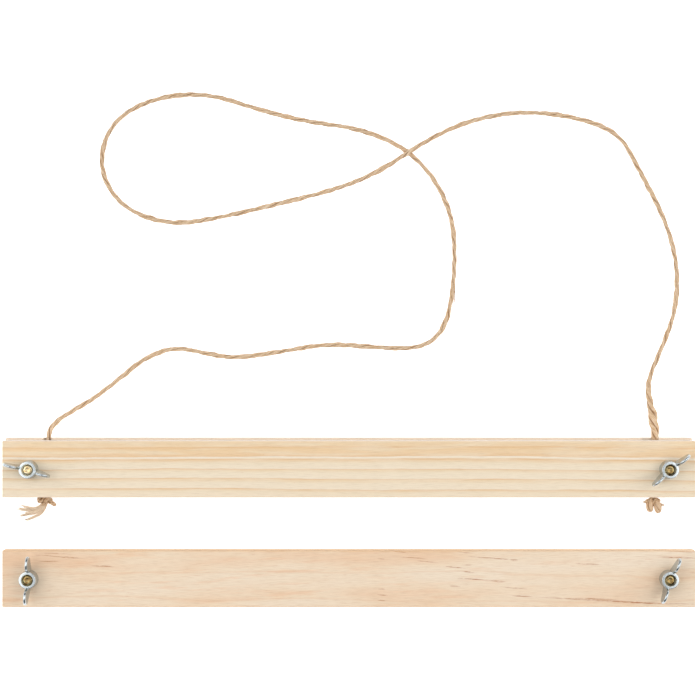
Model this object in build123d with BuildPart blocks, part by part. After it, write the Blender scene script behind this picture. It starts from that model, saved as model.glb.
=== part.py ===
from build123d import *
import math
import os

# A hanging warp loom, lying on its back. It has two clamps, and each clamp is a
# pair of wooden slats that two screws and two wing nuts squeeze together. A twine
# loop leaves the upper clamp, and both its ends are knotted below the clamp.
# +X runs along the slats, +Y towards the loop and +Z away from the surface that
# the loom lies on. The origin is the middle of the two clamps' footprint, on that
# surface. Lengths are millimetres and angles are degrees.

# Slats
slat_length = 300.0
slat_width = 24.5
slat_thickness = 7.5
slat_rounding = 0.35  # worn edges
clamp_centre = 23.7  # from the origin to the middle of each front slat
rear_shift = 0.9  # each rear slat sits this much further out than its front slat

# Screws
screw_inset = 11.8  # from the end of a slat to a screw's axis
thread_radius = 2.0
screw_tip = 20.0  # above the surface
tip_chamfer = 0.5
head_radius = 3.8
head_recess = 0.1  # the flat head lies this far below the slat's back
head_angle = 90.0
driver_recess_length = 4.2
driver_recess_width = 0.9
driver_recess_depth = 1.3

# Wing nuts
hub_base_radius = 4.0
hub_top_radius = 3.5
hub_height = 5.6
hub_rounding = 0.3
cup_radius = 2.45  # the shallow recess round the screw's tip
cup_depth = 0.7
root_place = (2.6, 3.0)  # from the nut's axis, and above its base
root_radius = 2.3
lobe_place = (7.15, 7.2)
lobe_radius = 3.3
wing_thickness = 1.9
wing_rounding = 0.6

# How far each nut's wings are turned from +X
wing_turns = {
    ("upper", "left"): -15.0,
    ("upper", "right"): 39.6,
    ("lower", "left"): 87.3,
    ("lower", "right"): 68.2,
}

# Clearances
running_gap = 0.05  # round the screws, in the nuts and in the rear slats
slat_hole_gap = 0.25  # round the screws in the front slats, which slide on them
knot_gap = 0.35  # between a knot and the front slat

# Twine and its grooves, which cross the inner face of the upper rear slat
twine_diameter = 2.0
grooves = [(-131.65, 3.6), (131.6, 7.4)]  # each one's middle along the slat, and its width
groove_depth = 2.8

# The twine's route, from the left knot round the loop to the right knot
twine_route = [
    (-132.5, 9.4, 5.6),
    (-132.0, 18.5, 6.15),
    (-131.5, 29.5, 6.2),
    (-131.6, 41.6, 5.9),
    (-122.0, 48.3, 3.0),
    (-112.5, 53.6, 1.15),
    (-100.0, 63.5, 1.05),
    (-90.5, 71.5, 1.05),
    (-77.0, 76.8, 1.05),
    (-62.0, 73.6, 1.05),
    (-50.0, 71.6, 1.05),
    (-32.0, 74.2, 1.05),
    (-10.0, 78.2, 1.05),
    (14.0, 76.2, 1.05),
    (32.0, 76.0, 1.05),
    (41.5, 83.5, 1.05),
    (45.3, 97.0, 1.05),
    (46.9, 116.0, 1.05),
    (45.6, 134.0, 1.05),
    (37.5, 151.5, 1.05),
    (24.0, 165.0, 1.05),
    (4.0, 173.0, 1.05),
    (-20.0, 176.0, 1.05),
    (-41.0, 181.6, 1.05),
    (-60.0, 187.8, 1.05),
    (-80.0, 187.6, 1.05),
    (-99.0, 180.5, 1.05),
    (-108.5, 167.5, 1.05),
    (-109.0, 151.5, 1.05),
    (-98.5, 137.0, 1.05),
    (-78.0, 130.2, 1.05),
    (-57.0, 133.6, 1.05),
    (-27.0, 140.6, 1.05),
    (-3.0, 146.8, 1.15),
    (14.0, 154.0, 3.7),
    (34.0, 167.4, 3.7),
    (54.0, 176.8, 1.15),
    (76.0, 180.6, 1.05),
    (100.0, 178.0, 1.05),
    (119.0, 171.0, 1.05),
    (127.5, 155.5, 1.05),
    (139.0, 133.5, 1.05),
    (144.8, 113.5, 1.05),
    (144.2, 93.5, 1.05),
    (138.0, 76.5, 1.05),
    (131.0, 61.0, 1.15),
    (132.6, 48.8, 3.2),
    (134.2, 37.6, 5.95),
    (133.9, 24.2, 6.2),
    (133.4, 11.6, 5.9),
]

# Knots: each is a rounded lump whose long axis lies along X, and the left one has
# a frayed tail that fans out down to the surface
knot_rounding = 0.75  # as a share of the knot's radius
knots = {  # length, radius, and the middle's x and z
    "left": (6.8, 2.1, -132.8, 5.9),
    "right": (7.4, 2.9, 133.2, 4.9),
}
tail_start = (-134.4, 8.6, 5.2)
tail_end = (-142.4, 3.9, 1.0)
tail_start_spread = 1.1
tail_start_thickness = 1.0
tail_end_spread = 3.1
tail_end_thickness = 0.75

# Worked out from the sizes above
screw_x = slat_length / 2 - screw_inset
sides = {"left": -1, "right": 1}
clamps = {"upper": 1, "lower": -1}
knot_top = clamp_centre - slat_width / 2 - knot_gap


def write_piece(piece, name):
    """Label a finished piece and write its file."""
    piece.label = name
    export_step(piece, f"parts/{name}.step")


def largest_radii(route):
    """The radius at each corner that leaves a little of both runs straight."""
    radii = []
    for before, corner, after in zip(route, route[1:], route[2:]):
        run_in = Vector(corner) - Vector(before)
        run_out = Vector(after) - Vector(corner)
        half_turn = math.radians(run_in.get_angle(run_out)) / 2
        shorter = min(run_in.length, run_out.length)
        radii.append(0.45 * shorter / math.tan(half_turn))
    return radii


def make_front_slat(clamp, direction):
    """The slat that faces out, with two loose holes for the screws."""
    middle = (0, direction * clamp_centre, slat_thickness)
    with BuildPart() as front_slat:
        with BuildSketch(Plane(middle)):
            Rectangle(slat_length, slat_width)
        extrude(amount=slat_thickness)
        fillet(front_slat.edges(), slat_rounding)
        with BuildSketch(Plane(middle)):
            with GridLocations(2 * screw_x, 0, 2, 1):
                Circle(thread_radius + slat_hole_gap)
        extrude(amount=slat_thickness, mode=Mode.SUBTRACT)
    write_piece(front_slat.part, f"{clamp}_front_slat")


def make_rear_slat(clamp, direction):
    """The slat that lies on the surface, countersunk for the screw heads."""
    middle = (0, direction * (clamp_centre + rear_shift), 0)
    back = Plane((0, direction * clamp_centre, 0), z_dir=(0, 0, -1))
    inner_face = Plane((0, 0, slat_thickness))
    with BuildPart() as rear_slat:
        with BuildSketch(Plane(middle)):
            Rectangle(slat_length, slat_width)
        extrude(amount=slat_thickness)
        fillet(rear_slat.edges(), slat_rounding)
        with Locations(back):
            with GridLocations(2 * screw_x, 0, 2, 1):
                CounterSinkHole(
                    radius=thread_radius + running_gap,
                    counter_sink_radius=head_radius + head_recess + running_gap,
                    depth=slat_thickness,
                    counter_sink_angle=head_angle,
                )
        if clamp == "upper":
            with BuildSketch(inner_face):
                for middle, width in grooves:
                    with Locations((middle, clamp_centre)):
                        Rectangle(width, 2 * slat_width)
            extrude(amount=-groove_depth, mode=Mode.SUBTRACT)
    write_piece(rear_slat.part, f"{clamp}_rear_slat")


def make_bolt(clamp, direction, side, turn):
    """A flat-headed screw that points away from the surface."""
    axis_place = (turn * screw_x, direction * clamp_centre, 0)
    cone_height = (head_radius - thread_radius) / math.tan(math.radians(head_angle / 2))
    with BuildPart() as bolt:
        with BuildSketch(Plane(axis_place, x_dir=(1, 0, 0), z_dir=(0, -1, 0))):
            with BuildLine():
                Polyline(
                    (0, head_recess),
                    (head_radius, head_recess),
                    (thread_radius, head_recess + cone_height),
                    (thread_radius, screw_tip - tip_chamfer),
                    (thread_radius - tip_chamfer, screw_tip),
                    (0, screw_tip),
                    close=True,
                )
            make_face()
        revolve(axis=Axis(axis_place, (0, 0, 1)))
        with BuildSketch(Plane(axis_place)):
            Rectangle(driver_recess_length, driver_recess_width)
            Rectangle(driver_recess_width, driver_recess_length)
        extrude(amount=head_recess + driver_recess_depth, mode=Mode.SUBTRACT)
    write_piece(bolt.part, f"{clamp}_{side}_bolt")


def make_wing_nut(clamp, direction, side, turn):
    """A nut with two rounded ears, resting on the front slat."""
    base = (turn * screw_x, direction * clamp_centre, 2 * slat_thickness)
    wing_turn = math.radians(wing_turns[clamp, side])
    along_wings = (math.cos(wing_turn), math.sin(wing_turn), 0)
    across_wings = (math.sin(wing_turn), -math.cos(wing_turn), 0)
    upright = Plane(base, x_dir=along_wings, z_dir=across_wings)
    with BuildPart() as wing_nut:
        with BuildSketch(upright):
            with Locations(root_place):
                Circle(root_radius)
            with Locations(lobe_place):
                Circle(lobe_radius)
            make_hull()
            mirror(about=Plane.YZ)
        extrude(amount=wing_thickness / 2, both=True)
        ear_edges = wing_nut.faces().filter_by(Axis(base, across_wings)).edges()
        fillet(ear_edges, wing_rounding)
        with BuildSketch(upright):
            with BuildLine():
                Polyline(
                    (0, 0),
                    (hub_base_radius, 0),
                    (hub_top_radius, hub_height),
                    (0, hub_height),
                    close=True,
                )
            make_face()
        revolve(axis=Axis(base, (0, 0, 1)))
        with BuildSketch(Plane(base)):
            Circle(thread_radius + running_gap)
        extrude(amount=hub_height, mode=Mode.SUBTRACT)
        with BuildSketch(Plane(base).offset(hub_height)):
            Circle(cup_radius)
        extrude(amount=-cup_depth, mode=Mode.SUBTRACT)
    write_piece(wing_nut.part, f"{clamp}_{side}_wing_nut")


os.makedirs("parts", exist_ok=True)

for clamp, direction in clamps.items():
    make_front_slat(clamp, direction)
    make_rear_slat(clamp, direction)
    for side, turn in sides.items():
        make_bolt(clamp, direction, side, turn)
        make_wing_nut(clamp, direction, side, turn)

twine_radii = largest_radii(twine_route)
with BuildPart() as hanging_cord:
    with BuildLine() as twine_line:
        FilletPolyline(*twine_route, radius=twine_radii)
    with BuildSketch(Plane(twine_line.line @ 0, z_dir=twine_line.line % 0)):
        Circle(twine_diameter / 2)
    sweep()
write_piece(hanging_cord.part, "hanging_cord")

tail_direction = (Vector(tail_end) - Vector(tail_start)).normalized()
tail_across = tail_direction.cross(Vector(0, 0, 1))
for side, (length, radius, middle_x, middle_z) in knots.items():
    middle = (middle_x, knot_top - radius, middle_z)
    with BuildPart() as knot:
        with BuildSketch(Plane(middle).offset(-radius)):
            SlotOverall(length, 2 * radius)
        extrude(amount=2 * radius)
        fillet(knot.faces().filter_by(Axis.Z).edges(), knot_rounding * radius)
        if side == "left":
            with BuildSketch(Plane(tail_start, x_dir=tail_across, z_dir=tail_direction)):
                Ellipse(tail_start_spread, tail_start_thickness)
            with BuildSketch(Plane(tail_end, x_dir=tail_across, z_dir=tail_direction)):
                Ellipse(tail_end_spread, tail_end_thickness)
            loft()
    write_piece(knot.part, f"{side}_knot")

twine_length = sum(run.length for run in twine_line.edges())
twine_section = math.pi * (twine_diameter / 2) ** 2
print("twine corner radii", [round(radius, 1) for radius in twine_radii])
print("twine length", round(twine_length, 1))
print("twine volume", round(hanging_cord.part.volume, 1))
print("twine section times length", round(twine_section * twine_length, 1))
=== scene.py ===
import math

import bmesh
import bpy
import numpy as np
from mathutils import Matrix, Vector


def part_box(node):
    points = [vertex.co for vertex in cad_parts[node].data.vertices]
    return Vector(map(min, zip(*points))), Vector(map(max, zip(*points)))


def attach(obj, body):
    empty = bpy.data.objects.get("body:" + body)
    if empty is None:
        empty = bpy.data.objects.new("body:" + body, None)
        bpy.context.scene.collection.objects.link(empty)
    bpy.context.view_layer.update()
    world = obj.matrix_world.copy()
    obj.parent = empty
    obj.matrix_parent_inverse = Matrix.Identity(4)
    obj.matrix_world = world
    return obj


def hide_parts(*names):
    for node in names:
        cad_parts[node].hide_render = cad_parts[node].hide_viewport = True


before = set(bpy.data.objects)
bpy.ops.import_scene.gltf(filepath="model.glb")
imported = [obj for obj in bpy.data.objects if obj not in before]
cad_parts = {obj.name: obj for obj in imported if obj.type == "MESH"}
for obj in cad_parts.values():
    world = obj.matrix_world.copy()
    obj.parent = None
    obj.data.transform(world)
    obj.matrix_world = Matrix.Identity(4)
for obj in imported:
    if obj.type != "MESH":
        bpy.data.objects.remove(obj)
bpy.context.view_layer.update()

MM = 0.001


# ---------------------------------------------------------------- sizes from the frame

def middle_of(node):
    """The middle of a CAD node's box."""
    low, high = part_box(node)
    return (Vector(low) + Vector(high)) / 2


SIDES = ("left", "right")
CLAMPS = ("upper", "lower")
FRONT_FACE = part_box("upper_front_slat")[1][2]
THREAD_PITCH = 0.7 * MM
THREAD_RADIUS = 2.0 * MM
WING_TURNS = {  # how far each nut's ears are turned from +X, in degrees
    ("upper", "left"): -15.0,
    ("upper", "right"): 39.6,
    ("lower", "left"): 87.3,
    ("lower", "right"): 68.2,
}
ON_TABLE = 0.00105  # the twine's middle where it lies on the table
SLAT_WIDTH = 24.5  # in millimetres, as the grain is laid out
SLAT_THICKNESS = 7.5


# ---------------------------------------------------------------- camera

camera_data = bpy.data.cameras.new("camera")
camera = bpy.data.objects.new("camera", camera_data)
bpy.context.scene.collection.objects.link(camera)
CAMERA_RANGE = 0.773  # from the camera to the slats' front faces
VIEW_WIDTH = 0.3028  # what it sees there
camera.location = (0.0005, 0.0753, FRONT_FACE + CAMERA_RANGE)
camera_data.sensor_width = 36.0
camera_data.lens = camera_data.sensor_width * CAMERA_RANGE / VIEW_WIDTH
camera_data.clip_start = 0.05
camera_data.clip_end = 60.0
bpy.context.scene.camera = camera


# ---------------------------------------------------------------- the twine's way

TWINE_ROUTE = [  # from the left knot round the loop to the right knot, in metres
    (-0.1325, 0.0094, 0.0056),
    (-0.1320, 0.0185, 0.00615),
    (-0.1315, 0.0295, 0.0062),
    (-0.1316, 0.0416, 0.0059),
    (-0.1220, 0.0483, 0.0030),
    (-0.1125, 0.0536, 0.00115),
    (-0.1000, 0.0635, ON_TABLE),
    (-0.0905, 0.0715, ON_TABLE),
    (-0.0770, 0.0768, ON_TABLE),
    (-0.0620, 0.0736, ON_TABLE),
    (-0.0500, 0.0716, ON_TABLE),
    (-0.0320, 0.0742, ON_TABLE),
    (-0.0100, 0.0782, ON_TABLE),
    (0.0140, 0.0762, ON_TABLE),
    (0.0320, 0.0760, ON_TABLE),
    (0.0415, 0.0835, ON_TABLE),
    (0.0453, 0.0970, ON_TABLE),
    (0.0469, 0.1160, ON_TABLE),
    (0.0456, 0.1340, ON_TABLE),
    (0.0375, 0.1515, ON_TABLE),
    (0.0240, 0.1650, ON_TABLE),
    (0.0040, 0.1730, ON_TABLE),
    (-0.0200, 0.1760, ON_TABLE),
    (-0.0410, 0.1816, ON_TABLE),
    (-0.0600, 0.1878, ON_TABLE),
    (-0.0800, 0.1876, ON_TABLE),
    (-0.0990, 0.1805, ON_TABLE),
    (-0.1085, 0.1675, ON_TABLE),
    (-0.1090, 0.1515, ON_TABLE),
    (-0.0985, 0.1370, ON_TABLE),
    (-0.0780, 0.1302, ON_TABLE),
    (-0.0570, 0.1336, ON_TABLE),
    (-0.0270, 0.1406, ON_TABLE),
    (-0.0030, 0.1468, 0.00115),
    (0.0140, 0.1540, 0.0037),
    (0.0340, 0.1674, 0.0037),
    (0.0540, 0.1768, 0.00115),
    (0.0760, 0.1806, ON_TABLE),
    (0.1000, 0.1780, ON_TABLE),
    (0.1190, 0.1710, ON_TABLE),
    (0.1275, 0.1555, ON_TABLE),
    (0.1390, 0.1335, ON_TABLE),
    (0.1448, 0.1135, ON_TABLE),
    (0.1442, 0.0935, ON_TABLE),
    (0.1380, 0.0765, ON_TABLE),
    (0.1310, 0.0610, 0.00115),
    (0.1326, 0.0488, 0.0032),
    (0.1342, 0.0376, 0.00595),
    (0.1339, 0.0242, 0.0062),
    (0.1334, 0.0116, 0.0059),
]


def lengths_along(line):
    """How far along its line each point lies."""
    return np.concatenate([[0], np.cumsum(np.linalg.norm(np.diff(line, axis=0), axis=1))])


def smooth_line(route, step, name):
    """Evenly spaced points along the smooth curve that a list of points steers."""
    data = bpy.data.curves.new(name, "CURVE")
    data.dimensions = "3D"
    data.resolution_u = 24
    spline = data.splines.new("NURBS")
    spline.points.add(len(route) - 1)
    for point, place in zip(spline.points, route):
        point.co = (*place, 1.0)
    spline.order_u = 3
    spline.use_endpoint_u = True
    curve = bpy.data.objects.new(name, data)
    mesh = bpy.data.meshes.new_from_object(curve)
    line = np.array([vertex.co[:] for vertex in mesh.vertices])
    bpy.data.meshes.remove(mesh)
    bpy.data.objects.remove(curve)
    bpy.data.curves.remove(data)
    along = lengths_along(line)
    spots = np.linspace(0, along[-1], int(along[-1] / step) + 2)
    return np.stack([np.interp(spots, along, line[:, axis]) for axis in range(3)], axis=1)


def unit(vectors):
    return vectors / np.maximum(np.linalg.norm(vectors, axis=-1, keepdims=True), 1e-12)


def turning_frames(line):
    """Two directions square to a line at each of its points, with no twist of their own."""
    ahead = unit(np.gradient(line, axis=0))
    side = np.zeros_like(line)
    start = np.array([0.0, 0.0, 1.0]) if abs(ahead[0, 2]) < 0.9 else np.array([1.0, 0, 0])
    side[0] = unit(np.cross(start, ahead[0]))
    for i in range(1, len(line)):
        side[i] = unit(side[i - 1] - ahead[i] * side[i - 1].dot(ahead[i]))
    return side, np.cross(ahead, side)


def slow_waves(along, seed, waves):
    """A smooth uneven value from about -1 to 1 along a length, the same on each run."""
    draw = np.random.default_rng(seed)
    total = np.zeros_like(along)
    for wave in waves:
        total += np.sin(along * 2 * math.pi / wave + draw.uniform(0, 2 * math.pi))
    return total / len(waves)


def skin(rings):
    """The corners and faces of a closed tube through rings of points, (rings, around, 3)."""
    count, around = rings.shape[:2]
    corners = rings.reshape(-1, 3)
    i, j = np.meshgrid(np.arange(count - 1), np.arange(around), indexing="ij")
    across = (j + 1) % around
    faces = np.stack([
        i * around + j, i * around + across, (i + 1) * around + across, (i + 1) * around + j,
    ], axis=-1).reshape(-1, 4).tolist()
    faces.append(list(range(around))[::-1])
    faces.append([(count - 1) * around + k for k in range(around)])
    return corners, faces


def new_piece(name, corners, faces, smooth=True, marks=None):
    """A mesh object from corners and faces; marks is a vector kept at each corner."""
    mesh = bpy.data.meshes.new(name)
    mesh.from_pydata([tuple(corner) for corner in corners], [], faces)
    mesh.update()
    if marks is not None:
        layer = mesh.attributes.new("fibre_place", "FLOAT_VECTOR", "POINT")
        layer.data.foreach_set("vector", np.asarray(marks, np.float32).ravel())
    if smooth:
        mesh.shade_smooth()
    piece = bpy.data.objects.new(name, mesh)
    bpy.context.scene.collection.objects.link(piece)
    return piece


def new_tubes(name, tubes):
    """One piece from many closed tubes, each given as its rings and their marks."""
    corners, faces, marks = [], [], []
    for rings, mark in tubes:
        first = len(corners)
        new_corners, new_faces = skin(rings)
        corners.extend(new_corners.tolist())
        faces.extend([[k + first for k in face] for face in new_faces])
        marks.extend(mark.reshape(-1, 3).tolist())
    return new_piece(name, corners, faces, marks=marks)


PLIES = 3
PLY_SIDES = 12
TURN_UNEVENNESS = 0.8  # in radians
PLY_UNEVENNESS = 0.15
YARN_RIDGES = 3
YARN_RELIEF = 0.05
YARN_LAY = 0.009
WIDENED_SHIFT = 0.35 * MM
LEAST_HEIGHT = 0.03 * MM  # nothing dips lower, so that the twine stays on the table
# A mark is the place along its fibre in millimetres, the cosine and the sine around it. The
# cosine also tells the finish what is special about a fibre: painted crevice shade where turns
# of a knot press, a dark fibre, or painted light on loose and frayed fibres.
MARK_BETWEEN_PLIES = 300
MARK_BETWEEN_FIBRES = 17.0
CREVICE_SHADE_MARK = -1.6
DARK_MARK = -1.0
PAINTED_LIGHT_MARK = 2.0


def twisted_twine(name, line, lay, ply_radius, spread, seed, widen=None, knotted=False):
    """
    Plies that wind round a line. ply_radius and spread are in metres at each point, widen
    flattens the twine sideways, and a knotted one is marked for painted shade where its turns
    press close.
    """
    along = lengths_along(line)
    side, up = turning_frames(line)
    wander = slow_waves(along, seed, (0.031, 0.053, 0.087))
    turn = -along * 2 * math.pi / lay + TURN_UNEVENNESS * wander
    level = unit(np.cross(np.gradient(line, axis=0), (0.0, 0.0, 1.0)))
    yarn_turn = (along * 2 * math.pi / YARN_LAY)[:, None]
    tubes = []
    angles = np.linspace(0, 2 * math.pi, PLY_SIDES, endpoint=False)
    for ply in range(PLIES):
        phase = turn + ply * 2 * math.pi / PLIES
        waves = slow_waves(along, seed + 11 * ply + 1, (0.0061, 0.013, 0.027))
        swell = 1 + PLY_UNEVENNESS * waves
        outward = np.cos(phase)[:, None] * side + np.sin(phase)[:, None] * up
        centre = line + outward * (spread * swell)[:, None]
        ahead = unit(np.gradient(centre, axis=0))
        across = unit(outward - ahead * (outward * ahead).sum(1, keepdims=True))
        beside = np.cross(ahead, across)
        # Coarse yarns show as shallow ridges that wind the other way round the ply
        ridges = 1 + YARN_RELIEF * np.cos(YARN_RIDGES * angles[None, :] + yarn_turn)
        radius = (ply_radius * swell)[:, None] * ridges
        rings = (
            centre[:, None, :]
            + (radius * np.cos(angles))[:, :, None] * across[:, None, :]
            + (radius * np.sin(angles))[:, :, None] * beside[:, None, :]
        )
        if widen is not None:
            aside = ((rings - line[:, None, :]) * level[:, None, :]).sum(-1)
            rings = rings + level[:, None, :] * (
                aside * widen[:, None] - WIDENED_SHIFT * widen[:, None]
            )[:, :, None]
        rings[:, :, 2] = np.maximum(rings[:, :, 2], LEAST_HEIGHT)
        # Painted shade: where another turn presses close, the mark tells the finish to darken the
        # twine as the crevice's shade
        crevice_shade = crowding(rings, line) if knotted else 0
        mark = np.zeros(rings.shape)
        mark[:, :, 0] = along[:, None] * 1000 + MARK_BETWEEN_PLIES * ply
        mark[:, :, 1] = np.cos(angles)[None, :] * (1 - crevice_shade) + CREVICE_SHADE_MARK * crevice_shade
        mark[:, :, 2] = np.sin(angles)[None, :]
        tubes.append((rings, mark))
    return new_tubes(name, tubes)


KNOT_STEP = 0.3 * MM
FAR_APART = 1.0
OWN_STRETCH = 3.2 * MM  # nearer along the twine than this isn't another turn
FREE_FROM = 1.25 * MM
PRESSED_WITHIN = 0.45 * MM


def crowding(rings, line):
    """From 0 where the twine is free to 1 where another turn of it presses close."""
    nearest = np.full(rings.shape[:2], FAR_APART)
    for number, point in enumerate(line):
        apart = np.linalg.norm(rings - point, axis=-1)
        same_turn = np.abs(np.arange(len(line)) - number) * KNOT_STEP < OWN_STRETCH
        apart[same_turn] = FAR_APART
        nearest = np.minimum(nearest, apart)
    return np.clip((FREE_FROM - nearest) / PRESSED_WITHIN, 0, 1)


TWINE_STEP = 0.42 * MM
twine_line = smooth_line(TWINE_ROUTE, TWINE_STEP, "twine_way")
twine_along = lengths_along(twine_line)
to_end = float(twine_along[-1]) - twine_along


def eased(values, low, high):
    """Rises smoothly from 0 at low to 1 at high."""
    share = np.clip((values - low) / (high - low), 0, 1)
    return share * share * (3 - 2 * share)


unevenness = 0.19 * slow_waves(twine_along, 5, (0.0135, 0.021, 0.047))
thickness = 1 + unevenness * eased(twine_along, 0, 0.05)
# The twine has come loose in front of its right end, and tightens again at the slat
loosened = eased(to_end, 49 * MM, 34 * MM) * (0.3 + 0.7 * eased(to_end, 22 * MM, 27 * MM))
cord = twisted_twine(
    "twine_hanger",
    twine_line,
    lay=19.0 * MM,
    ply_radius=0.62 * MM * thickness,
    spread=0.43 * MM * thickness,
    seed=21,
    widen=0.9 * loosened,
)


# ---------------------------------------------------------------- material helpers

class Wire:
    """A node's socket, which sums can be written with."""

    def __init__(self, finish, socket):
        self.finish = finish
        self.socket = socket

    def __add__(self, other):
        return self.finish.sum("ADD", self, other)

    def __sub__(self, other):
        return self.finish.sum("SUBTRACT", self, other)

    def __rsub__(self, other):
        return self.finish.sum("SUBTRACT", other, self)

    def __mul__(self, other):
        return self.finish.sum("MULTIPLY", self, other)

    def __truediv__(self, other):
        return self.finish.sum("DIVIDE", self, other)

    def __pow__(self, other):
        return self.finish.sum("POWER", self, other)

    __radd__ = __add__
    __rmul__ = __mul__


class Finish:
    """A material whose nodes come from plain calls."""

    def __init__(self, name):
        self.material = bpy.data.materials.new(name)
        self.material.use_nodes = True
        self.tree = self.material.node_tree
        self.tree.nodes.clear()

    def node(self, kind, settings=None, values=None, output=0):
        """A node's output, after its settings and then its sockets' values or links."""
        made = self.tree.nodes.new(kind)
        for name, setting in (settings or {}).items():
            if name == "stops":
                fill_ramp(made.color_ramp, setting)
            else:
                setattr(made, name, setting)
        for name, value in (values or {}).items():
            if isinstance(value, Wire):
                self.tree.links.new(value.socket, made.inputs[name])
            else:
                made.inputs[name].default_value = value
        return Wire(self, made.outputs[output]) if made.outputs else None

    def sum(self, operation, *terms):
        return self.node("ShaderNodeMath", {"operation": operation}, dict(enumerate(terms)))

    def place(self):
        """Where a point of the object lies, in millimetres."""
        return self.stretch(self.node("ShaderNodeTexCoord", output="Object"), (1000, 1000, 1000))

    def stretch(self, vector, scale):
        return self.node("ShaderNodeVectorMath", {"operation": "MULTIPLY"}, {0: vector, 1: scale})

    def shift(self, vector, by):
        return self.node("ShaderNodeVectorMath", {"operation": "ADD"}, {0: vector, 1: by})

    def part(self, vector, axis):
        return self.node("ShaderNodeSeparateXYZ", None, {0: vector}, axis)

    def noise(self, where, scale=1.0, detail=2.0, roughness=0.5):
        return self.node("ShaderNodeTexNoise", {"noise_dimensions": "3D"}, {
            "Vector": where, "Scale": scale, "Detail": detail, "Roughness": roughness,
        })

    def ramp(self, value, stops):
        return self.node("ShaderNodeValToRGB", {"stops": stops}, {0: value})

    def blend(self, amount, first, second, mode="MIX"):
        """Two colours mixed, or combined in another of the Mix node's ways."""
        settings = {"data_type": "RGBA", "blend_type": mode}
        return self.node("ShaderNodeMix", settings, {0: amount, 6: first, 7: second}, 2)

    def between(self, value, low, high, start=0.0, end=1.0):
        """value eased from start at low to end at high."""
        return self.node("ShaderNodeMapRange", {"interpolation_type": "SMOOTHSTEP"}, {
            0: value, 1: low, 2: high, 3: start, 4: end,
        })

    def surface(self, colour, roughness, height=None, relief=0.0, **even):
        """
        Finishes the material. relief is how deep height goes, in metres, and even holds
        values that are the same all over.
        """
        values = {"Base Color": colour, "Roughness": roughness}
        if height is not None:
            values["Normal"] = self.node("ShaderNodeBump", None, {
                "Strength": 1.0, "Distance": relief, "Height": height,
            })
        values.update({name.replace("_", " "): value for name, value in even.items()})
        shader = self.node("ShaderNodeBsdfPrincipled", None, values)
        self.node("ShaderNodeOutputMaterial", None, {"Surface": shader})
        return self.material


def fill_ramp(ramp, stops):
    """Sets a colour ramp's stops, each a place from 0 to 1 and a colour."""
    while len(ramp.elements) > 1:
        ramp.elements.remove(ramp.elements[-1])
    for number, (place, colour) in enumerate(stops):
        element = ramp.elements[0] if number == 0 else ramp.elements.new(place)
        element.position = place
        element.color = colour


def shade(red, green, blue):
    """A colour from its display values, 0 to 255."""
    linear = [
        (level / 255 / 12.92) if level < 10.3 else ((level / 255 + 0.055) / 1.055) ** 2.4
        for level in (red, green, blue)
    ]
    return (*linear, 1.0)


def grey(level):
    return (level, level, level, 1.0)


# ---------------------------------------------------------------- pine

APART = 1000.0  # how far along the same log two slats' grain is taken, in millimetres
UPPER_RINGS = [  # colours across the growth rings, from the slat's lower edge to its upper
    (0.000, shade(240, 224, 200)),
    (0.100, shade(239, 221, 193)),
    (0.135, shade(235, 205, 165)),
    (0.147, shade(227, 186, 143)),
    (0.154, shade(241, 226, 203)),
    (0.250, shade(240, 224, 199)),
    (0.310, shade(237, 212, 176)),
    (0.327, shade(229, 191, 149)),
    (0.335, shade(241, 227, 205)),
    (0.430, shade(240, 224, 198)),
    (0.475, shade(237, 213, 178)),
    (0.491, shade(230, 193, 151)),
    (0.499, shade(241, 227, 205)),
    (0.600, shade(239, 222, 195)),
    (0.645, shade(236, 208, 170)),
    (0.666, shade(229, 190, 147)),
    (0.680, shade(240, 222, 196)),
    (0.698, shade(243, 231, 214)),
    (0.709, shade(242, 229, 211)),
    (0.717, shade(233, 198, 156)),
    (0.800, shade(238, 209, 170)),
    (0.860, shade(236, 204, 160)),
    (0.888, shade(232, 194, 150)),
    (0.899, shade(238, 210, 172)),
    (1.000, shade(238, 212, 174)),
]


def slat_places(finish, node, seed):
    """A slat's lengthwise, crosswise and thickness places in mm, from its middle."""
    middle = middle_of(node)
    place = finish.place()
    x = finish.part(place, "X") + APART * seed
    y = finish.part(place, "Y") - middle.y / MM
    z = finish.part(place, "Z") - middle.z / MM
    return x, y, z


def joined(finish, x, y, z):
    return finish.node("ShaderNodeCombineXYZ", None, {0: x, 1: y, 2: z})


def long_corner_band(finish, node, y, z):
    """1 along a slat's long corners, where the wood takes the edge tone."""
    low, high = (np.array(corner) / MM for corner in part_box(node))
    half_width, half_thick = (high[1] - low[1]) / 2, (high[2] - low[2]) / 2
    to_side = half_width - finish.sum("ABSOLUTE", y)
    to_face = half_thick - finish.sum("ABSOLUTE", z)
    return finish.between(finish.sum("MAXIMUM", to_side, to_face), 0.9, 0.15)


def fine_grain(finish, x, y, z):
    """Short fibres along the slat, from 0 to 1."""
    return finish.noise(joined(finish, x * 0.22, y * 5.0, z * 5.0), 1.0, 4.0, 0.6)


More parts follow.
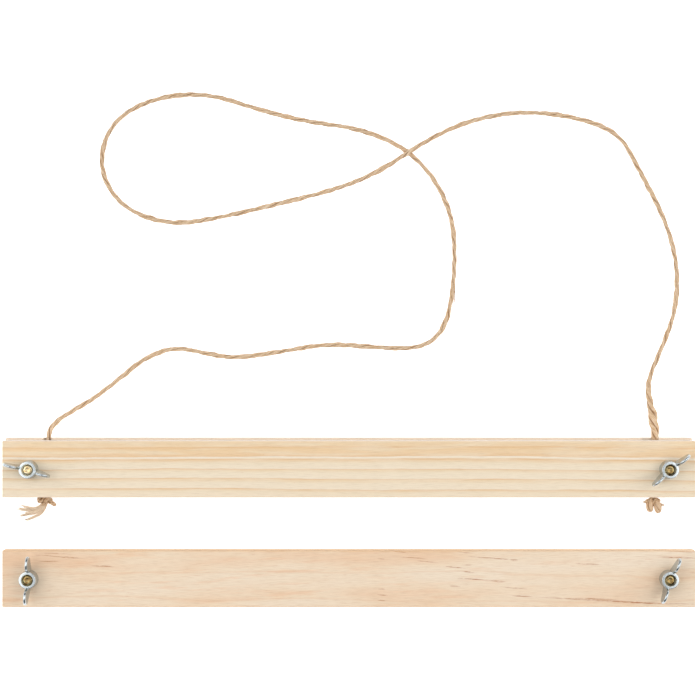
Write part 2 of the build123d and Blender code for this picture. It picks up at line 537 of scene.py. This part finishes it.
def quarter_sawn(name, node, seed, sweep, tilt, lift=0.0):
    """Pine whose growth rings cross the wide face, so that they show as lines along it."""
    finish = Finish(name)
    x, y, z = slat_places(finish, node, seed)
    long_wave = finish.noise(joined(finish, x * 0.009, y * 0.03, z * 0.05), 1.0, 1.0) - 0.5
    short_wave = finish.noise(joined(finish, x * 0.06, y * 0.22, z * 0.2), 1.0, 3.0, 0.55) - 0.5
    depth = z - SLAT_THICKNESS / 2
    ring_place = y + long_wave * sweep + short_wave * 1.0 + depth * tilt + lift
    share = finish.sum("PINGPONG", (ring_place + SLAT_WIDTH / 2) / SLAT_WIDTH, 1.0)
    colour = finish.ramp(share, UPPER_RINGS)
    strength = finish.noise(joined(finish, x * 0.035, y * 0.5, z * 0.5), 1.0, 2.0)
    pale = finish.blend(0.5, colour, shade(241, 225, 200))
    colour = finish.blend(finish.between(strength, 0.42, 0.66), colour, pale)
    grain = fine_grain(finish, x, y, z)
    colour = finish.blend(0.55, colour, finish.ramp(grain, [
        (0.30, shade(226, 220, 212)), (0.50, shade(247, 246, 245)), (0.72, shade(255, 255, 255)),
    ]), "MULTIPLY")
    fleck = finish.noise(joined(finish, x * 0.30, y * 2.6, z * 2.6), 1.0, 2.0, 0.7)
    fleck = finish.between(fleck, 0.73, 0.80)
    colour = finish.blend(fleck * 0.6, colour, shade(206, 150, 100))
    # Painted light: the strip of the rear slat that the front one leaves bare is painted a paler
    # grey, as if it were a face lit from above
    front_edge = (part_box("upper_front_slat")[1][1] - middle_of(node).y) / MM
    painted_top_light = finish.between(y, front_edge - 0.3, front_edge)
    colour = finish.blend(painted_top_light * 0.8, colour, shade(236, 224, 210))
    # The last two colours are the painted light of the narrow sides and the tone of the long
    # corners
    return finish_wood(
        finish, node, colour, grain, y, z, shade(234, 224, 214), shade(234, 208, 180)
    )


def finish_wood(finish, node, colour, grain, y, z, painted_side_light, edge_tone):
    """Edges, painted light on the narrow sides, gloss and relief that every slat shares."""
    normal = finish.node("ShaderNodeNewGeometry", output="Normal")
    # Painted light: the narrow sides that face along Y take a side colour that stands in for how
    # they are lit, greyer on the upper slats and more golden on the lower ones
    facing_side = finish.sum("ABSOLUTE", finish.part(normal, "Y"))
    painted_side_tone = finish.blend(0.65, colour, painted_side_light)
    colour = finish.blend(finish.between(facing_side, 0.5, 0.9), colour, painted_side_tone)
    edge = long_corner_band(finish, node, y, z)
    colour = finish.blend(edge * 0.5, colour, edge_tone)
    roughness = 0.62 + grain * 0.16
    return finish.surface(colour, roughness, grain + edge * 0.4, 0.00006, Specular_IOR_Level=0.35)


STREAKS = [  # brown pitch streaks on the lower front face: x, y, length, width, slope, strength
    (-120.0, -14.6, 9.0, 0.45, -0.045, 0.9),
    (-129.5, -16.1, 9.0, 0.40, 0.0, 0.8),
    (-131.5, -13.6, 8.0, 0.50, -0.03, 0.5),
    (-127.5, -12.7, 13.0, 0.60, -0.03, 0.4),
    (-124.5, -14.1, 10.0, 0.50, -0.03, 0.5),
    (-106.6, -18.2, 9.5, 0.50, -0.03, 0.9),
    (103.5, -17.3, 10.0, 0.42, -0.04, 0.9),
    (142.5, -14.5, 18.0, 0.55, -0.035, 0.8),
    (144.0, -11.9, 15.0, 0.50, -0.05, 0.7),
    (14.0, -15.1, 3.0, 0.50, -0.05, 0.6),
    (14.2, -28.1, 3.0, 0.50, -0.05, 0.6),
    (14.5, -30.7, 4.5, 0.50, -0.10, 0.7),
    (14.0, -33.0, 3.5, 0.50, -0.10, 0.7),
    (21.4, -11.9, 8.0, 0.50, -0.13, 0.8),
    (27.6, -14.6, 10.5, 0.45, -0.06, 0.8),
    (33.4, -16.2, 9.5, 0.45, -0.09, 0.6),
    (50.1, -12.3, 8.0, 0.40, -0.10, 0.5),
    (62.5, -14.8, 19.0, 0.50, -0.07, 0.8),
    (71.3, -15.5, 3.5, 1.00, -0.05, 0.5),
    (51.0, -17.7, 4.0, 0.40, -0.02, 0.6),
    (45.7, -18.7, 9.0, 0.45, -0.10, 0.9),
    (51.6, -20.7, 5.0, 0.45, -0.10, 0.9),
    (54.5, -23.9, 14.0, 0.50, -0.06, 0.9),
    (64.5, -24.7, 7.0, 0.80, -0.08, 0.6),
    (45.8, -26.9, 4.5, 0.45, -0.05, 0.8),
    (72.0, -27.7, 10.0, 0.45, -0.06, 0.7),
    (75.0, -31.2, 8.0, 0.55, -0.05, 0.9),
    (112.0, -33.2, 58.0, 0.75, -0.052, 0.75),
    (107.0, -32.3, 16.0, 0.50, -0.04, 0.8),
    (126.0, -34.1, 24.0, 0.45, -0.045, 0.9),
    (144.0, -34.5, 12.0, 0.40, -0.03, 0.6),
]


def plain_sawn(name, node, seed, streaks):
    """Pine cut along its rings: cloudy, with faint slanting bands and brown pitch streaks."""
    finish = Finish(name)
    x, y, z = slat_places(finish, node, seed)
    cloud = finish.noise(joined(finish, x * 0.012, y * 0.09, z * 0.09), 1.0, 3.0, 0.5)
    to_left = finish.between(x - APART * seed, 60.0, -150.0)
    to_right = finish.between(x - APART * seed, 10.0, 90.0)
    colour = finish.ramp(cloud + to_left * 0.10 - to_right * 0.10 - 0.04, [
        (0.34, shade(242, 225, 203)),
        (0.50, shade(241, 220, 194)),
        (0.60, shade(239, 211, 182)),
        (0.72, shade(238, 203, 170)),
    ])
    slant = joined(finish, x * 0.03 + y * 0.10, y * 0.35 - x * 0.02, z * 0.3)
    slanting = finish.noise(slant, 1.0, 4.0, 0.6)
    slanting = finish.between(slanting, 0.50, 0.72) * (1 - to_right * 0.6)
    colour = finish.blend(slanting * 0.55, colour, shade(238, 196, 158))
    ring = finish.sum("PINGPONG", (y + z * 2.6 + cloud * 9.0) / 5.5, 1.0)
    colour = finish.blend(finish.between(ring, 0.86, 1.0) * 0.28, colour, shade(230, 190, 150))
    grain = fine_grain(finish, x, y, z)
    colour = finish.blend(0.8, colour, finish.ramp(grain, [
        (0.30, shade(232, 222, 212)), (0.50, shade(249, 247, 245)), (0.72, shade(255, 255, 255)),
    ]), "MULTIPLY")
    fleck = finish.noise(joined(finish, x * 0.13, y * 2.2, z * 2.2), 1.0, 2.0, 0.6)
    colour = finish.blend(finish.between(fleck, 0.70, 0.78) * 0.7, colour, shade(205, 148, 106))
    broken = finish.noise(joined(finish, x * 0.35, y * 4.0, z * 4.0), 1.0, 3.0, 0.7)
    broken = finish.between(broken, 0.36, 0.58)
    middle = middle_of(node)
    for centre_x, centre_y, length, width, slope, strength in streaks:
        over = x - (centre_x + APART * seed)
        aside = y - (centre_y - middle.y / MM) - over * slope
        reach = (over / (length / 2)) ** 2.0 + (aside / (width / 2)) ** 2.0
        streak = finish.between(reach, 1.6, 0.1) * broken * strength
        colour = finish.blend(streak, colour, shade(178, 112, 70))
    # The last two colours are the painted light of the narrow sides and the tone of the long
    # corners
    return finish_wood(
        finish, node, colour, grain, y, z, shade(228, 194, 154), shade(228, 188, 146)
    )


def cover(node, material):
    """Gives a CAD piece its finish."""
    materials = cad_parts[node].data.materials
    materials.clear()
    materials.append(material)


cover("upper_front_slat", quarter_sawn("upper_front_pine", "upper_front_slat", 0.0, 3.0, 0.25))
cover("upper_rear_slat", quarter_sawn("upper_rear_pine", "upper_rear_slat", 0.7, 3.0, -0.6, -2.6))
cover("lower_front_slat", plain_sawn("lower_front_pine", "lower_front_slat", 0.0, STREAKS))
cover("lower_rear_slat", plain_sawn("lower_rear_pine", "lower_rear_slat", 1.3, []))


# ---------------------------------------------------------------- metal and twine finishes

def bright_zinc():
    """Cast zinc, a little cloudy and pitted."""
    finish = Finish("bright_zinc")
    place = finish.place()
    cast = finish.noise(place, 0.7, 3.0, 0.5)
    pits = finish.noise(place, 3.0, 2.0, 0.6)
    colour = finish.ramp(cast, [(0.3, shade(178, 186, 189)), (0.7, shade(194, 201, 204))])
    roughness = 0.18 + cast * 0.08 + pits * 0.05
    return finish.surface(colour, roughness, Metallic=1.0)


def yellow_zinc(name, dull, middling, bright):
    """A passivated screw's film, which varies from dull to bright."""
    finish = Finish(name)
    place = finish.place()
    film = finish.noise(place, 1.1, 3.0, 0.6)
    colour = finish.ramp(film, [(0.32, dull), (0.50, middling), (0.68, bright)])
    return finish.surface(colour, 0.20 + film * 0.12, Metallic=1.0)


def jute():
    """Fibres run along each ply, golden where thin, with painted shade in the grooves and where
    turns press, and painted light on loose and frayed fibres.
    """
    finish = Finish("jute")
    place = finish.node("ShaderNodeAttribute", {"attribute_name": "fibre_place"}, output="Vector")
    fibres = finish.noise(finish.stretch(place, (0.55, 3.2, 3.2)), 1.0, 5.0, 0.65)
    patches = finish.noise(finish.stretch(place, (0.10, 0.4, 0.4)), 1.0, 3.0, 0.6)
    colour = finish.ramp(fibres, [
        (0.30, shade(172, 130, 92)), (0.43, shade(208, 174, 136)),
        (0.58, shade(230, 204, 174)), (0.75, shade(242, 226, 204)),
    ])
    colour = finish.blend(finish.between(patches, 0.55, 0.75) * 0.5, colour, shade(206, 160, 112))
    colour = finish.blend(finish.between(patches, 0.42, 0.28) * 0.5, colour, shade(240, 224, 200))
    ply_side = finish.part(place, "Y")
    elsewhere = finish.shift(place, (9.0, 4.0, 2.0))
    broken = finish.noise(finish.stretch(elsewhere, (0.16, 0.5, 0.5)), 1.0, 2.0)
    # Painted shade in the grooves between plies, on the sides of each ply that face its
    # neighbours
    groove_shade = finish.between(ply_side, 0.60, -0.15) * finish.between(broken, 0.44, 0.58, 0.15, 1.0)
    colour = finish.blend(groove_shade * 0.9, colour, shade(126, 80, 44))
    # Painted shade on the inner sides of the plies and where turns of a knot press, together with
    # the dark hanging strand's own colour
    colour = finish.blend(finish.between(ply_side, -0.4, -1.3) * 0.7, colour, shade(146, 92, 52))
    # Painted light: loose and frayed fibres, whose mark is 2, are painted paler to undo the shade
    # among and under them
    colour = finish.blend(finish.between(ply_side, 1.3, 1.8) * 0.75, colour, shade(250, 232, 208))
    elsewhere = finish.shift(place, (55.0, 3.0, 9.0))
    odd = finish.noise(finish.stretch(elsewhere, (0.22, 1.6, 1.6)), 1.0, 2.0)
    colour = finish.blend(finish.between(odd, 0.70, 0.76) * 0.55, colour, shade(150, 142, 118))
    return finish.surface(colour, 0.78 + fibres * 0.15, fibres, 0.00025, Specular_IOR_Level=0.25)


zinc, twine_finish = bright_zinc(), jute()
fresh_passivate = yellow_zinc(
    "yellow_zinc", shade(176, 136, 84), shade(216, 194, 150), shade(214, 204, 176)
)
dull_passivate = yellow_zinc(
    "dulled_yellow_zinc", shade(120, 84, 50), shade(142, 118, 74), shade(168, 158, 118)
)


def dress(piece, material, slot, body, *nodes):
    """Gives a piece its finish, its body and the CAD nodes that it replaces; slot is not used."""
    piece.data.materials.clear()
    piece.data.materials.append(material)
    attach(piece, body)
    if nodes:
        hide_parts(*nodes)


# ---------------------------------------------------------------- wing nuts

def turned_rings(profile, around):
    """Rings about Z for a profile of (radius, height)."""
    angles = np.linspace(0, 2 * math.pi, around, endpoint=False)
    return np.stack([
        np.stack([r * np.cos(angles), r * np.sin(angles), np.full(around, h)], axis=-1)
        for r, h in profile
    ])


def taken_mesh(piece):
    """A piece's mesh, kept while the piece itself goes."""
    mesh = piece.data
    bpy.data.objects.remove(piece)
    return mesh


def stand(name, mesh, node, height, degrees):
    """A copy of a turned mesh, upright at a height on a CAD node's axis."""
    middle = middle_of(node)
    piece = bpy.data.objects.new(name, mesh.copy())
    bpy.context.scene.collection.objects.link(piece)
    piece.location = (middle.x, middle.y, height)
    piece.rotation_euler = (0, 0, math.radians(degrees))
    bpy.context.view_layer.update()
    return piece


def ear_outline(root, root_radius, lobe, lobe_radius, steps):
    """The outline of one ear: two circles and the straight lines that touch both."""
    root, lobe = np.array(root), np.array(lobe)
    apart = np.linalg.norm(lobe - root)
    heading = math.atan2(*(lobe - root)[::-1])
    opening = math.acos((root_radius - lobe_radius) / apart)
    outer = np.linspace(heading - opening, heading + opening, steps)
    inner = np.linspace(heading + opening, heading + 2 * math.pi - opening, steps)
    return [tuple(lobe + lobe_radius * np.array([math.cos(a), math.sin(a)])) for a in outer] + [
        tuple(root + root_radius * np.array([math.cos(a), math.sin(a)])) for a in inner
    ]


EAR_ROOT, EAR_ROOT_RADIUS = (3.8 * MM, 2.2 * MM), 1.6 * MM
EAR_LOBE, EAR_LOBE_RADIUS = (7.15 * MM, 7.2 * MM), 3.3 * MM
EAR_HALF_THICKNESS = 1.0 * MM
EAR_THINNING = 0.040  # of its height
EAR_ROUNDING = 0.62 * MM


def ear(side):
    """Corners and faces of an ear that stands along X, thinner and rounded at its rim."""
    rings = []
    for lean in np.linspace(-math.pi / 2, math.pi / 2, 15):
        inset = EAR_ROUNDING * (1 - math.cos(lean))
        outline = ear_outline(
            EAR_ROOT, EAR_ROOT_RADIUS - inset, EAR_LOBE, EAR_LOBE_RADIUS - inset, 40
        )
        rings.append([
            (side * r, math.sin(lean) * (EAR_HALF_THICKNESS - EAR_THINNING * max(h, 0)), h)
            for r, h in outline
        ])
    return skin(np.array(rings))


def tidy_normals(piece):
    """Turns all faces outward, as an exact union or cut needs them."""
    shape = bmesh.new()
    shape.from_mesh(piece.data)
    bmesh.ops.recalc_face_normals(shape, faces=shape.faces)
    shape.to_mesh(piece.data)
    shape.free()


def settle(piece):
    """Replaces a piece's mesh by what its modifiers make of it."""
    evaluated = piece.evaluated_get(bpy.context.evaluated_depsgraph_get())
    made = bpy.data.meshes.new_from_object(evaluated)
    piece.modifiers.clear()
    piece.data = made


def sharpen(mesh, angle):
    """Shades a mesh smooth but for edges that turn by more than an angle in degrees."""
    mesh.shade_smooth()
    mesh.set_sharp_from_angle(angle=math.radians(angle))


def combine(piece, tool, operation):
    """Joins the tool's shape to a piece or takes it out, and removes the tool."""
    tidy_normals(piece)
    tidy_normals(tool)
    change = piece.modifiers.new("change", "BOOLEAN")
    change.operation = operation
    change.solver = "EXACT"
    change.object = tool
    settle(piece)
    bpy.data.objects.remove(tool)


NUT_AROUND = 96
NUT_SHARP = 32  # degrees


def cast_wing_nut():
    """One nut about its own axis, its ears along X, as rounded as a casting."""
    piece = new_piece("nut_casting", *skin(turned_rings([
        (1.2 * MM, 0.0), (3.84 * MM, 0.0), (3.96 * MM, 0.05 * MM), (4.0 * MM, 0.18 * MM),
        (3.69 * MM, 5.30 * MM), (3.66 * MM, 5.46 * MM), (3.60 * MM, 5.55 * MM),
        (3.51 * MM, 5.59 * MM), (3.42 * MM, 5.6 * MM), (1.2 * MM, 5.6 * MM),
    ], NUT_AROUND)))
    for side in (-1, 1):
        combine(piece, new_piece("ear", *ear(side)), "UNION")
    combine(piece, new_piece("bore", *skin(turned_rings([
        (2.5 * MM, -0.2 * MM), (2.03 * MM, 0.35 * MM), (2.03 * MM, 4.66 * MM),
        (2.10 * MM, 4.80 * MM), (2.42 * MM, 5.22 * MM), (2.52 * MM, 5.46 * MM),
        (2.66 * MM, 5.9 * MM),
    ], NUT_AROUND))), "DIFFERENCE")
    sharpen(piece.data, NUT_SHARP)
    weigh = piece.modifiers.new("weigh", "WEIGHTED_NORMAL")
    weigh.keep_sharp = True
    settle(piece)
    return taken_mesh(piece)


nut_mesh = cast_wing_nut()
for clamp in CLAMPS:
    for side in SIDES:
        nut = stand(
            f"{clamp}_{side}_cast_nut", nut_mesh, f"{clamp}_{side}_bolt", FRONT_FACE,
            WING_TURNS[clamp, side],
        )
        dress(nut, zinc, "bright_zinc", f"{clamp}_{side}_nut", f"{clamp}_{side}_wing_nut")


# ---------------------------------------------------------------- screws

SCREW_AROUND = 36
SCREW_SHARP = 40  # degrees
RINGS_PER_PITCH = 10
THREAD_DEPTH = 0.40 * MM
SLOT_HALF_LENGTH = 2.1 * MM
SLOT_HALF_WIDTH = 0.42 * MM
LEFT_TIP, RIGHT_TIP = 20.0 * MM, 19.45 * MM
TURN_BETWEEN_SCREWS = 25  # degrees


def threaded_screw(tip):
    """A flat-headed screw about its own axis, its head down and its rounded tip up."""
    low, high = 2.6 * MM, tip - 0.8 * MM
    angles = np.linspace(0, 2 * math.pi, SCREW_AROUND, endpoint=False)
    heights = np.arange(low, high + 1e-9, THREAD_PITCH / RINGS_PER_PITCH)
    turn = angles[None, :] / (2 * math.pi) - heights[:, None] / THREAD_PITCH
    tooth = 1 - np.abs(2 * (turn % 1.0) - 1)
    depth = THREAD_DEPTH * np.clip(1.15 * (1 - tooth) - 0.08, 0, 1)
    runs_out = np.clip((heights - low) / (0.7 * MM), 0, 1)
    fade = runs_out * np.clip((high - heights) / (0.5 * MM), 0, 1)
    radius = THREAD_RADIUS - depth * fade[:, None]
    shank = np.stack([
        radius * np.cos(angles), radius * np.sin(angles),
        np.repeat(heights[:, None], SCREW_AROUND, axis=1),
    ], axis=-1)
    head = turned_rings([
        (0.6 * MM, 0.10 * MM), (3.55 * MM, 0.10 * MM), (3.78 * MM, 0.16 * MM),
        (3.78 * MM, 0.28 * MM), (2.05 * MM, 1.98 * MM), (1.98 * MM, 2.3 * MM),
    ], SCREW_AROUND)
    dome = turned_rings([
        (1.99 * MM, tip - 0.50 * MM), (1.95 * MM, tip - 0.30 * MM),
        (1.82 * MM, tip - 0.14 * MM), (1.55 * MM, tip - 0.05 * MM),
        (1.15 * MM, tip), (0.95 * MM, tip - 0.02 * MM),
        (0.80 * MM, tip - 0.12 * MM), (0.40 * MM, tip - 0.14 * MM),
    ], SCREW_AROUND)
    piece = new_piece("screw_turning", *skin(np.concatenate([head, shank, dome])))
    for along_x in (True, False):
        rings = []
        for height, share in ((-0.1 * MM, 1.0), (0.6 * MM, 0.8), (1.4 * MM, 0.42)):
            half = (SLOT_HALF_LENGTH * share, SLOT_HALF_WIDTH)
            half_x, half_y = half if along_x else half[::-1]
            rings.append([
                (sx * half_x, sy * half_y, height)
                for sx, sy in ((-1, -1), (1, -1), (1, 1), (-1, 1))
            ])
        combine(piece, new_piece("driver_slot", *skin(np.array(rings))), "DIFFERENCE")
    sharpen(piece.data, SCREW_SHARP)
    return taken_mesh(piece)


screw_meshes = {"left": threaded_screw(LEFT_TIP), "right": threaded_screw(RIGHT_TIP)}
for clamp in CLAMPS:
    for side in SIDES:
        node = f"{clamp}_{side}_bolt"
        degrees = TURN_BETWEEN_SCREWS * (SIDES.index(side) + 2 * CLAMPS.index(clamp))
        screw = stand(f"{clamp}_{side}_screw", screw_meshes[side], node, 0, degrees)
        coating = fresh_passivate if (clamp, side) == ("upper", "left") else dull_passivate
        dress(screw, coating, "yellow_zinc", f"{clamp}_clamp_back", node)


# ---------------------------------------------------------------- knots and frayed ends

def knotted_twine(name, route, lay, ply_radius, spread, seed):
    """A short length of the same twine, with painted shade where its turns press, and rounded at
    its ends.
    """
    line = smooth_line(in_millimetres(route), KNOT_STEP, name + "_way")
    along = lengths_along(line)
    to_tip = np.minimum(along, along[-1] - along) / (2 * ply_radius)
    size = np.sqrt(np.clip(1 - (1 - np.clip(to_tip, 0, 1)) ** 2, 0.04, 1))
    return twisted_twine(name, line, lay, ply_radius * size, spread * size, seed, knotted=True)


def tapered_fibres(name, fibres, sides=5, tone=PAINTED_LIGHT_MARK):
    """Thin tubes, each with its own points and a radius at each of them, all of one tone."""
    angles = np.linspace(0, 2 * math.pi, sides, endpoint=False)
    tubes = []
    for number, (points, radii) in enumerate(fibres):
        side, up = turning_frames(points)
        rings = (
            points[:, None, :]
            + (radii[:, None] * np.cos(angles))[:, :, None] * side[:, None, :]
            + (radii[:, None] * np.sin(angles))[:, :, None] * up[:, None, :]
        )
        mark = np.zeros(rings.shape)
        mark[:, :, 0] = (lengths_along(points) * 1000 + MARK_BETWEEN_FIBRES * number)[:, None]
        mark[:, :, 1] = tone
        mark[:, :, 2] = np.sin(angles)[None, :]
        tubes.append((rings, mark))
    return new_tubes(name, tubes)


def bent(start, through, end, count):
    """Points on a smooth bend through three steering places."""
    share = np.linspace(0, 1, count)[:, None]
    return (1 - share) ** 2 * start + 2 * share * (1 - share) * through + share ** 2 * end


def in_millimetres(places):
    return [tuple(value * MM for value in place) for place in places]


def loosened_bundle(route, count, width_from, width_to, draw):
    """Fibres that run together along a route and spread out towards its end."""
    line = smooth_line(in_millimetres(route), 0.5 * MM, "bundle_way")
    side, up = turning_frames(line)
    share = (lengths_along(line) / lengths_along(line)[-1])[:, None]
    fibres = []
    for _ in range(count):
        angle, out = draw.uniform(0, 2 * math.pi), math.sqrt(draw.uniform(0, 1))
        width = (width_from + (width_to - width_from) * share ** 1.5) * MM
        sway = 0.25 * MM * share * np.sin(share * draw.uniform(2, 7) + draw.uniform(0, 6))
        points = line + side * (math.cos(angle) * out * width + sway)
        points = points + up * (math.sin(angle) * out * width * 0.8)
        points[:, 2] = np.maximum(points[:, 2], 0.12 * MM)
        last = max(4, int(len(points) * draw.uniform(0.82, 1.0)))
        thick = draw.uniform(0.10, 0.21) * MM
        fibres.append((points[:last], thick * np.linspace(1.0, 0.45, last)))
    return fibres


def frayed_end(name, routes, count, width_from, width_to, seed):
    """The cut end of the twine, come apart into bundles of fibres."""
    draw = np.random.default_rng(seed)
    fibres = []
    for route in routes:
        fibres.extend(loosened_bundle(route, count, width_from, width_to, draw))
    return tapered_fibres(name, fibres)


LEFT_KNOT_WAY = [  # a turn to the left, a turn to the right and the end tucked through
    (-132.4, 11.9, 6.0), (-132.2, 10.6, 6.6), (-133.6, 9.2, 7.0), (-135.3, 8.9, 6.4),
    (-136.0, 9.9, 5.2), (-135.0, 10.4, 4.0), (-133.2, 9.9, 3.6), (-131.4, 9.0, 4.2),
    (-130.3, 9.0, 5.6), (-130.4, 10.0, 6.9), (-131.6, 10.3, 7.3), (-132.6, 9.2, 7.2),
    (-133.2, 8.2, 6.0), (-133.9, 7.3, 4.8),
]
LEFT_STUB_WAY = [
    (-132.8, 10.2, 5.6), (-131.4, 9.2, 5.9), (-130.2, 8.3, 5.3), (-128.4, 7.2, 4.4),
]
LEFT_TAIL_WAYS = [
    [
        (-132.6, 9.6, 6.0), (-134.0, 7.9, 4.8), (-136.8, 5.9, 3.0),
        (-140.4, 5.5, 1.4), (-145.2, 7.2, 0.8),
    ],
    [
        (-132.8, 9.4, 5.8), (-134.0, 7.6, 4.4), (-136.8, 5.2, 2.6),
        (-140.8, 4.7, 1.2), (-147.0, 5.5, 0.8),
    ],
    [
        (-132.6, 9.4, 5.5), (-133.5, 7.0, 4.2), (-136.0, 4.8, 2.4),
        (-139.0, 3.9, 1.2), (-143.6, 3.9, 0.7),
    ],
    [
        (-132.6, 9.4, 5.6), (-133.6, 7.2, 4.2), (-136.2, 4.3, 2.4),
        (-139.8, 3.1, 1.2), (-145.8, 2.3, 0.7),
    ],
    [
        (-132.4, 9.3, 5.4), (-133.2, 6.8, 4.0), (-135.0, 3.9, 2.2),
        (-138.0, 1.9, 1.0), (-143.6, -0.1, 0.6),
    ],
]
left_knot = knotted_twine("left_knot_twine", LEFT_KNOT_WAY, 8 * MM, 0.52 * MM, 0.44 * MM, 41)
left_stub = knotted_twine("left_knot_stub", LEFT_STUB_WAY, 9 * MM, 0.54 * MM, 0.46 * MM, 43)
left_tail = frayed_end(
    "left_frayed_tail", LEFT_TAIL_WAYS, count=26, width_from=0.72, width_to=0.55, seed=45
)

RIGHT_KNOT_WAY = [
    (133.4, 12.2, 5.8), (133.2, 10.8, 6.4), (131.6, 9.6, 6.6), (130.4, 8.6, 5.6),
    (130.9, 8.9, 3.8), (132.4, 9.8, 3.0), (134.4, 9.8, 3.4), (135.8, 9.2, 4.8),
    (135.4, 9.2, 6.4), (133.9, 9.6, 7.0), (132.7, 8.4, 6.6), (132.0, 7.2, 5.4),
    (131.7, 6.4, 4.4),
]
RIGHT_LOBE_WAYS = [  # the two cut ends that hang below the knot
    [(132.9, 10.2, 5.6), (132.2, 8.8, 6.2), (131.8, 7.2, 6.0), (131.9, 4.5, 4.8)],
    [(133.9, 10.0, 5.6), (134.7, 8.4, 6.4), (135.3, 6.8, 6.0), (135.5, 3.9, 4.8)],
]
RIGHT_TUFT_WAYS = [
    [(132.4, 9.6, 5.8), (131.2, 9.2, 5.8), (130.2, 8.9, 5.6), (128.4, 8.8, 5.2)],
    [(135.2, 9.0, 5.8), (136.2, 8.0, 5.6), (137.1, 7.5, 5.2), (138.6, 7.3, 4.9)],
]
right_knot = knotted_twine("right_knot_twine", RIGHT_KNOT_WAY, 8 * MM, 0.52 * MM, 0.44 * MM, 47)
right_ends = [
    knotted_twine(f"{place}_right_end", way, 26 * MM, 1.12 * MM, 0.56 * MM, seed)
    for place, way, seed in zip(("inner", "outer"), RIGHT_LOBE_WAYS, (49, 61))
]
right_tufts = frayed_end(
    "right_tufts", RIGHT_TUFT_WAYS, count=26, width_from=0.9, width_to=0.25, seed=53
)

STRAND_BEND = ((45.8, 103.5, 1.7), (47.3, 100.0, 1.6), (46.3, 96.0, 0.8))
STRAND_RINGS = 10
strand_line = bent(*(np.array(place) * MM for place in STRAND_BEND), STRAND_RINGS)
strand_radii = np.linspace(0.30, 0.12, STRAND_RINGS) * MM
hanging_strand = tapered_fibres(
    "hanging_strand", [(strand_line, strand_radii)], sides=6, tone=DARK_MARK
)

for piece, nodes in (
    (left_knot, ["left_knot"]), (left_stub, []), (left_tail, []),
    (right_knot, ["right_knot"]), *((end, []) for end in right_ends), (right_tufts, []),
    (hanging_strand, []),
):
    dress(piece, twine_finish, "jute", "upper_clamp_back", *nodes)


# ---------------------------------------------------------------- loose fibres on the twine

BARE_START, BARE_END = 60, 80  # points at the twine's ends that lie under the slat
HAIR_POINTS = 6


def loose_fibres(name, line, count, seed):
    """Short hairs that lift off the twine and lean along it."""
    draw = np.random.default_rng(seed)
    side, up = turning_frames(line)
    ahead = unit(np.gradient(line, axis=0))
    fibres = []
    for place in draw.integers(BARE_START, len(line) - BARE_END, count):
        angle = draw.uniform(0, 2 * math.pi)
        outward = math.cos(angle) * side[place] + math.sin(angle) * up[place]
        if line[place][2] < 2.5 * MM and outward[2] < -0.2:
            outward[2] *= -1
        reach = draw.uniform(1.2, 4.2) * MM * draw.choice([-1, 1])
        lift = draw.uniform(0.25, 1.3) * MM
        start = line[place] + outward * 0.85 * MM
        through = start + ahead[place] * reach * 0.5 + outward * lift * 0.3
        end = start + ahead[place] * reach + outward * lift
        points = bent(start, through, end, HAIR_POINTS)
        points[:, 2] = np.maximum(points[:, 2], 0.1 * MM)
        thick = draw.uniform(0.02, 0.05) * MM
        fibres.append((points, thick * np.linspace(1.0, 0.4, HAIR_POINTS)))
    return tapered_fibres(name, fibres, sides=3)


fuzz = loose_fibres("twine_loose_fibres", twine_line, count=900, seed=51)
dress(fuzz, twine_finish, "jute", "upper_clamp_back")
dress(cord, twine_finish, "jute", "upper_clamp_back", "hanging_cord")


# ---------------------------------------------------------------- floor, lights and world

def white_floor():
    finish = Finish("white_floor")
    return finish.surface(
        grey(0.55), 0.9, Specular_IOR_Level=0.1, Emission_Color=grey(1.0), Emission_Strength=1.0
    )


floor_corners = [(-12, -12, -0.0002), (12, -12, -0.0002), (12, 12, -0.0002), (-12, 12, -0.0002)]
floor = new_piece("floor", floor_corners, [[0, 1, 2, 3]], smooth=False)
floor.data.materials.append(white_floor())


def softbox(name, place, aim, width, height, power):
    """A soft lamp at place that shines towards aim."""
    data = bpy.data.lights.new(name, "AREA")
    data.shape = "RECTANGLE"
    data.size, data.size_y = width, height
    data.energy = power
    lamp = bpy.data.objects.new(name, data)
    bpy.context.scene.collection.objects.link(lamp)
    lamp.location = place
    heading = Vector(aim) - Vector(place)
    lamp.rotation_euler = heading.to_track_quat("-Z", "Y").to_euler()


softbox("left_softbox", (-0.75, 0.10, 0.62), (-0.10, 0.02, 0), 0.85, 1.2, 6.1)
softbox("right_softbox", (0.75, 0.16, 0.62), (0.10, 0.02, 0), 0.85, 1.2, 6.1)
softbox("overhead", (0.0, 0.25, 1.7), (0.0, 0.05, 0), 2.7, 2.7, 14.7)

world = bpy.data.worlds.new("studio")
world.use_nodes = True
background = world.node_tree.nodes["Background"].inputs
background["Color"].default_value = grey(1.0)
background["Strength"].default_value = 0.14
bpy.context.scene.world = world
bpy.context.scene.view_settings.view_transform = "Standard"
